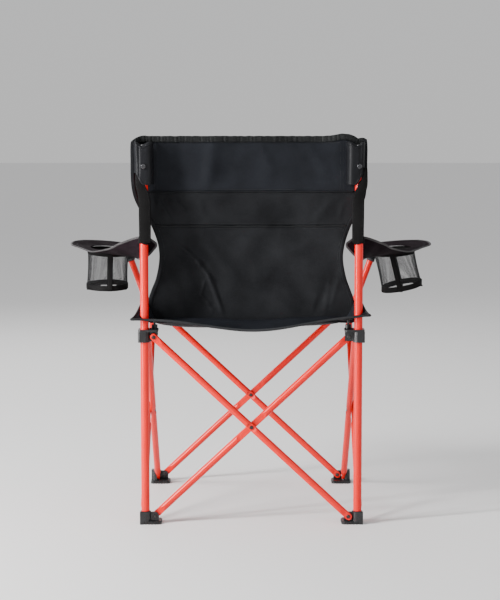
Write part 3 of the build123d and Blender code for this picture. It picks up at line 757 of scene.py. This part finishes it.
def make_seat():
    """Four triangular pieces of one seat cloth, each with its hem."""
    pieces = []
    upright_hole = UPRIGHT_RADIUS - 0.3
    for name, (start, end) in SEAT_EDGES.items():
        (x0, y0), (x1, y1) = SEAT_CORNERS[start], SEAT_CORNERS[end]

        def place(u, v, x0=x0, y0=y0, x1=x1, y1=y1):
            share = 0.004 + 0.996 * v
            outward = Vector((x0 + x1, y0 + y1)).normalized()
            lap = outward * SEAT_LAP * max(0.0, 1 - 20 * v)
            x, y = x0 + (x1 - x0) * u, y0 + (y1 - y0) * u
            return seat_point(share * x - lap.x, share * y - lap.y)

        holed = {"rear": (1, -1), "left": (1,), "right": (-1,)}.get(name, ())
        holes = [(side * CORNER, CORNER, upright_hole) for side in holed]
        length = math.hypot(x1 - x0, y1 - y0)
        panel = cloth(f"seat_panel_{name}_cloth", place, 90, 56, length, 262, holes)
        dress(panel, BLUISH, f"seat_{name}")
        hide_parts(f"seat_panel_{name}")
        hem_line = [place(i / 110, 0.994) + Vector((0, 0, 0.2)) for i in range(111)]
        hem = sweep(f"seat_hem_{name}", hem_line, (0, 0, 1), 5.6, 3.8)
        dress(hem, SEAT_HEM, f"seat_{name}")
        inset = [place(0.04 + 0.92 * i / 80, 0.955) for i in range(81)]
        row = stitches(f"seat_stitching_{name}", inset, (0, 0, 1))
        dress(row, THREAD, f"seat_{name}")
        pieces.append((name, panel, hem, row))
    return pieces


# ---- arms and cup holders -----------------------------------------------------------------
# Sections of the left arm sling from its loop to its front: points of the outer edge, middle and
# inner edge.
ARM = [
    ((215, 230.0, 641), (214, 230, 638), (215, 230, 634)),
    ((234, 229.5, 653), (234, 228, 634), (234, 229, 613)),
    ((258, 228.0, 654), (256, 224, 630), (251, 222, 605)),
    ((304, 150.0, 635), (284, 146, 613), (262, 140, 600)),
    ((330, 90.0, 620), (303, 85, 605), (273, 80, 599)),
    ((368, 0.0, 607), (330, 0, 600), (290, 0, 600)),
    ((390, -50.0, 603), (343, -50, 598), (295, -50, 600)),
    ((421, -110.0, 608), (356, -110, 600), (299, -110, 600)),
    ((446, -160.0, 612), (364, -165, 602), (302, -165, 600)),
    ((445, -220.0, 616), (371, -215, 608), (301, -215, 603)),
    ((424, -252.0, 617), (368, -259, 615), (302, -258, 608)),
]


def arm_point(side, u, v):
    """A point of an arm sling: u from its inner to its outer edge, v from its loop to its front."""
    at = v * (len(ARM) - 1)
    rows = [(i, *outer, *middle, *inner) for i, (outer, middle, inner) in enumerate(ARM)]
    values = curve_through(rows, at)
    outer, middle, inner = Vector(values[0:3]), Vector(values[3:6]), Vector(values[6:9])
    a, b, c = (1 - u) * (1 - 2 * u), 4 * u * (1 - u), u * (2 * u - 1)
    point = inner * a + middle * b + outer * c
    loose = math.sin(math.pi * v) * (1 - (2 * u - 1) ** 4)
    wave = 1.5 * ripple(point.x * side, point.y, 4, 42) + 0.7 * ripple(point.x, point.y * side, 9, 17)
    point.z += wave * loose
    folds = smooth(0.05, 0.15, v) * (1 - smooth(0.2, 0.45, v))
    point.y += 1.3 * folds * math.sin(u * 19) * math.sin(math.pi * u)
    point.x *= side
    return point


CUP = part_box("cup_mesh_left")
CUP_X = (CUP[0].x + CUP[1].x) / 2 / MM
CUP_Y = (CUP[0].y + CUP[1].y) / 2 / MM
CUP_RADIUS = (CUP[1].x - CUP[0].x) / 2 / MM
CUP_FLOOR_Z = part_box("cup_webbing_left")[0].z / MM + 3
ARM_STEPS = 150


def make_arm(side, name):
    """Arm sling with its hems, cup hole and stitching."""
    body = LEGS[name]

    def place(u, v):
        return arm_point(side, u, v)

    cup_hole = (side * CUP_X, CUP_Y, CUP_RADIUS - 4)
    arm = cloth(f"arm_sling_{name}_cloth", place, 44, ARM_STEPS, 150, 560, [cup_hole])
    dress(arm, ARM_CLOTH, body)
    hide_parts(f"arm_sling_{name}")
    path, inward = [], []
    for i in range(ARM_STEPS, 0, -1):
        path.append(place(0.01, i / ARM_STEPS))
        inward.append(place(1.0, i / ARM_STEPS) - path[-1])
    for i in range(1, 10):
        path.append(place(i / 10, 0.006))
        inward.append(place(0.5, 0.08) - path[-1])
    for i in range(1, ARM_STEPS + 1):
        path.append(place(0.99, i / ARM_STEPS))
        inward.append(place(0.0, i / ARM_STEPS) - path[-1])
    edge = sweep("edge", path, inward, 5.0, 2.8)
    front = sweep("front", [place(i / 50, 0.995) for i in range(51)], (0, 1, 0), 6.0, 3.0)
    hem = join(f"arm_hem_{name}", edge, front)
    dress(hem, TRIM, body)
    rows = [
        stitches(f"arm_row_{u}", [place(u, i / 90) for i in range(14, 90)], (0, 0, 1))
        for u in (0.91, 0.09)
    ]
    thread = dress(join(f"arm_stitching_{name}", *rows), THREAD, body)
    return [arm, hem, thread]


def arm_height(side):
    """Heights of the arm sling round its cup hole, as a function of the angle round the cup."""
    count = 48
    grid = [arm_point(side, i / 30, 0.45 + 0.55 * j / 60) for i in range(31) for j in range(61)]
    heights = []
    for k in range(count):
        turn = 2 * math.pi * k / count
        x, y = side * CUP_X + CUP_RADIUS * math.cos(turn), CUP_Y + CUP_RADIUS * math.sin(turn)
        heights.append(min(grid, key=lambda p: (p.x - x) ** 2 + (p.y - y) ** 2).z)
    smoothed = [sum(heights[(k + d) % count] for d in range(-3, 4)) / 7 for k in range(count)]

    def height(turn):
        at = (turn / (2 * math.pi) * count) % count
        k = int(at)
        return smoothed[k] + (smoothed[(k + 1) % count] - smoothed[k]) * (at - k)

    return height


def lattice(lines, thick):
    """Points and faces of four-sided yarns, half width thick, along lines of (point, outward) pairs."""
    points, faces = [], []
    for line in lines:
        base = len(points)
        for centre, out in line:
            up = Vector((0, 0, 1))
            for offset in (out, up, -out, -up):
                points.append(centre + offset * thick)
        for j in range(len(line) - 1):
            for c in range(4):
                d = (c + 1) % 4
                ring = base + j * 4
                faces.append((ring + c, ring + d, ring + 4 + d, ring + 4 + c))
    return points, faces


def make_cup(side, name, lean, tilt, base_width):
    """Cup holder: mesh wall, webbing rim and band, a cradle strap and two straps across the base.

    It leans outward by lean mm for each mm down, and its base tilts by tilt across the chair.
    """
    top = arm_height(side)
    body = LEGS[name]
    centre_x = side * (CUP_X + 2)

    def wall(turn, h, out=0.0):
        """A point of the cup wall: h is 0 at its floor and 1 at the arm sling."""
        high = top(turn) - 2.0
        radius = CUP_RADIUS + 0.5 - 1.8 * math.sin(math.pi * h) + out
        radius += 0.9 * math.sin(3 * turn + 1.0) * (1 - h)
        floor = CUP_FLOOR_Z + 2.5 + radius * (tilt * math.cos(turn) - 0.075 * math.sin(turn))
        z = floor + (high - floor) * h
        x = centre_x + radius * math.cos(turn) + side * lean * (high - z)
        return Vector((x, CUP_Y + radius * math.sin(turn), z))

    lines, count, steps = [], 92, 18
    for way in (1, -1):
        for k in range(count):
            line = []
            for j in range(steps + 1):
                turn = 2 * math.pi * (k / count + way * 0.26 * j / steps)
                outward = Vector((math.cos(turn), math.sin(turn), 0))
                line.append((wall(turn, 0.06 + 0.88 * j / steps), outward))
            lines.append(line)
    points, faces = lattice(lines, 0.36)
    mesh = new_object(f"cup_mesh_{name}_yarn", points, faces, [(p[0], p[2]) for p in points])
    dress(mesh, MESH, body)
    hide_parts(f"cup_mesh_{name}")

    bands = []
    for label, h, width in (("rim", 0.93, 13.0), ("band", 0.05, 13.5)):
        ring = [wall(2 * math.pi * k / 64, h, 0.8) for k in range(64)]
        bands.append(sweep(label, ring, (0, 0, 1), width, 1.8, closed=True))
    near, far = math.pi / 2 + side * 0.2, -math.pi / 2
    line = [wall(near, 0.95 * (1 - j / 20), 1.9) for j in range(21)]
    low_near, low_far = wall(near, -0.02, -2.0), wall(far, -0.02, -2.0)
    line += [low_near + (low_far - low_near) * j / 12 for j in range(13)]
    line += [wall(far, 0.95 * j / 20, 1.9) for j in range(21)]
    bands.append(sweep("cradle", line, (1, 0, 0), 11.5, 1.6))
    reach = math.acos((CUP_RADIUS - base_width / 2) / CUP_RADIUS)
    for heading in (0.0, math.pi):
        low_near, low_far = wall(heading + reach, 0.0, -1.5), wall(heading - reach, 0.0, -1.5)
        chord = [low_near + (low_far - low_near) * j / 12 for j in range(13)]
        bands.append(sweep("chord", chord, (1, 0, 0), base_width, 1.6))
    webbing = dress(join(f"cup_webbing_{name}_tape", *bands), WEBBING, body)
    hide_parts(f"cup_webbing_{name}")
    return [mesh, webbing]


def make_post_pocket(side, name):
    """Cloth sleeve that joins the arm sling to the top of its post."""
    top = Vector((side * POST_TOP.x, POST_TOP.y, POST_TOP.z))
    up = Vector((side * math.sin(POST_LEAN), 0, math.cos(POST_LEAN)))
    level = Vector((0, 1, 0))
    outward = level.cross(up)

    def place(u, v):
        turn = 2 * math.pi * u
        flare = smooth(0.55, 1.0, v)
        radius = 9.2 + 0.7 * math.sin(3 * turn + 6 * v) * (0.4 + v) + 5.0 * flare
        run = -32 + 35 * v
        return top + up * run + outward * math.cos(turn) * radius + level * math.sin(turn) * radius

    sleeve = cloth(f"arm_pocket_{name}_cloth", place, 40, 24, 58, 36)
    dress(sleeve, FABRIC, f"{name}_arm_post")
    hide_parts(f"arm_pocket_{name}")
    cuff = [place(k / 48, 0.04) for k in range(48)]
    band = sweep(f"arm_pocket_cuff_{name}", cuff, up, 6.0, 2.4, closed=True)
    dress(band, TRIM, f"{name}_arm_post")
    return [sleeve, band]


# ---- camera, floor and light --------------------------------------------------------------
def make_camera():
    """A long lens straight behind the chair, a little above the backrest."""
    data = bpy.data.cameras.new("camera")
    data.lens = 105.0
    data.clip_end = 60.0
    camera = bpy.data.objects.new("camera", data)
    camera.location = (0.0136, 4.1748, 0.9027)
    camera.rotation_euler = (math.radians(90 - 5.65), 0.0, math.radians(180 - 0.15))
    bpy.context.scene.collection.objects.link(camera)
    bpy.context.scene.camera = camera


def make_floor():
    """Plain pale floor that runs to the horizon."""
    bpy.ops.mesh.primitive_plane_add(size=80.0, location=(0, 0, 0))
    floor = bpy.context.object
    floor.name = "floor"
    nodes = Nodes("floor")
    nodes.set(Base_Color=(0.80, 0.79, 0.78, 1), Roughness=0.9)
    floor.data.materials.append(nodes.material)


def make_light(name, place, width, height, power, aim=(0, 0, 0.45)):
    """A soft rectangular studio light."""
    data = bpy.data.lights.new(name, "AREA")
    data.shape = "RECTANGLE"
    data.size = width
    data.size_y = height
    data.energy = power
    light = bpy.data.objects.new(name, data)
    light.location = place
    light.rotation_euler = (Vector(aim) - Vector(place)).to_track_quat("-Z", "Y").to_euler()
    bpy.context.scene.collection.objects.link(light)


def make_world():
    """Soft grey surround, as bright at the horizon as the floor that meets it there."""
    world = bpy.data.worlds.new("studio")
    world.use_nodes = True
    tree = world.node_tree
    background = tree.nodes["Background"]
    background.inputs["Strength"].default_value = 0.68
    height = tree.nodes.new("ShaderNodeSeparateXYZ")
    tree.links.new(tree.nodes.new("ShaderNodeTexCoord").outputs["Generated"], height.inputs["Vector"])
    ramp = tree.nodes.new("ShaderNodeValToRGB")
    ramp.color_ramp.elements[0].position = 0.0
    ramp.color_ramp.elements[1].position = 0.35
    ramp.color_ramp.elements[0].color = (0.95, 0.95, 0.95, 1)
    ramp.color_ramp.elements[1].color = (0.97, 0.98, 1.0, 1)
    tree.links.new(height.outputs["Z"], ramp.inputs["Fac"])
    tree.links.new(ramp.outputs["Color"], background.inputs["Color"])
    bpy.context.scene.world = world


make_camera()
make_floor()
make_world()
make_light("key", (3.1, 2.0, 2.5), 0.9, 0.9, 200)
make_light("strip", (3.0, 1.6, 1.05), 0.25, 2.0, 190, aim=(0, 0, 1.0))
make_light("fill", (-3.0, 2.6, 1.4), 1.6, 1.6, 25)
make_light("front", (1.2, -3.0, 2.6), 2.0, 2.0, 50)

dress_frame()
back_panels = make_back_panels()
back_trim = make_back_trim()
seat = make_seat()
pockets = {"left": make_pocket(1, "left", 21, 22), "right": make_pocket(-1, "right", 28, 13)}
straps = {name: make_strap(side, name) for name, side in SIDES.items()}
arms = {name: make_arm(side, name) for name, side in SIDES.items()}
cups = {
    "left": make_cup(1, "left", 0.03, 0.0, 30),
    "right": make_cup(-1, "right", 0.24, -0.2, 20),
}
sleeves = {name: make_post_pocket(side, name) for name, side in SIDES.items()}

gather([*back_panels, *back_trim])
for name, *seat_pieces in seat:
    if name in ("rear", "front"):
        gather(seat_pieces)
    else:
        gather(seat_pieces)
for name, side in SIDES.items():
    gather_arm(side, arms[name] + cups[name])


def declare_sheets():
    """Unpack each cloth piece from its trim, and pick the seat pieces' cut sizes; nothing is done with
    them.
    """
    for name, panel, *trim in seat:
        wide, deep = {"rear": (0.55, 0.27), "front": (0.5, 0.27)}.get(name, (0.54, 0.26))
        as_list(trim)
    for name in SIDES:
        arm, *trim = arms[name]
        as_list(trim)
        pocket, *trim = pockets[name]
        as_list(trim)
        strap, *trim = straps[name]
        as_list(trim)
        sleeve, *trim = sleeves[name]
        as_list(trim)


declare_sheets()
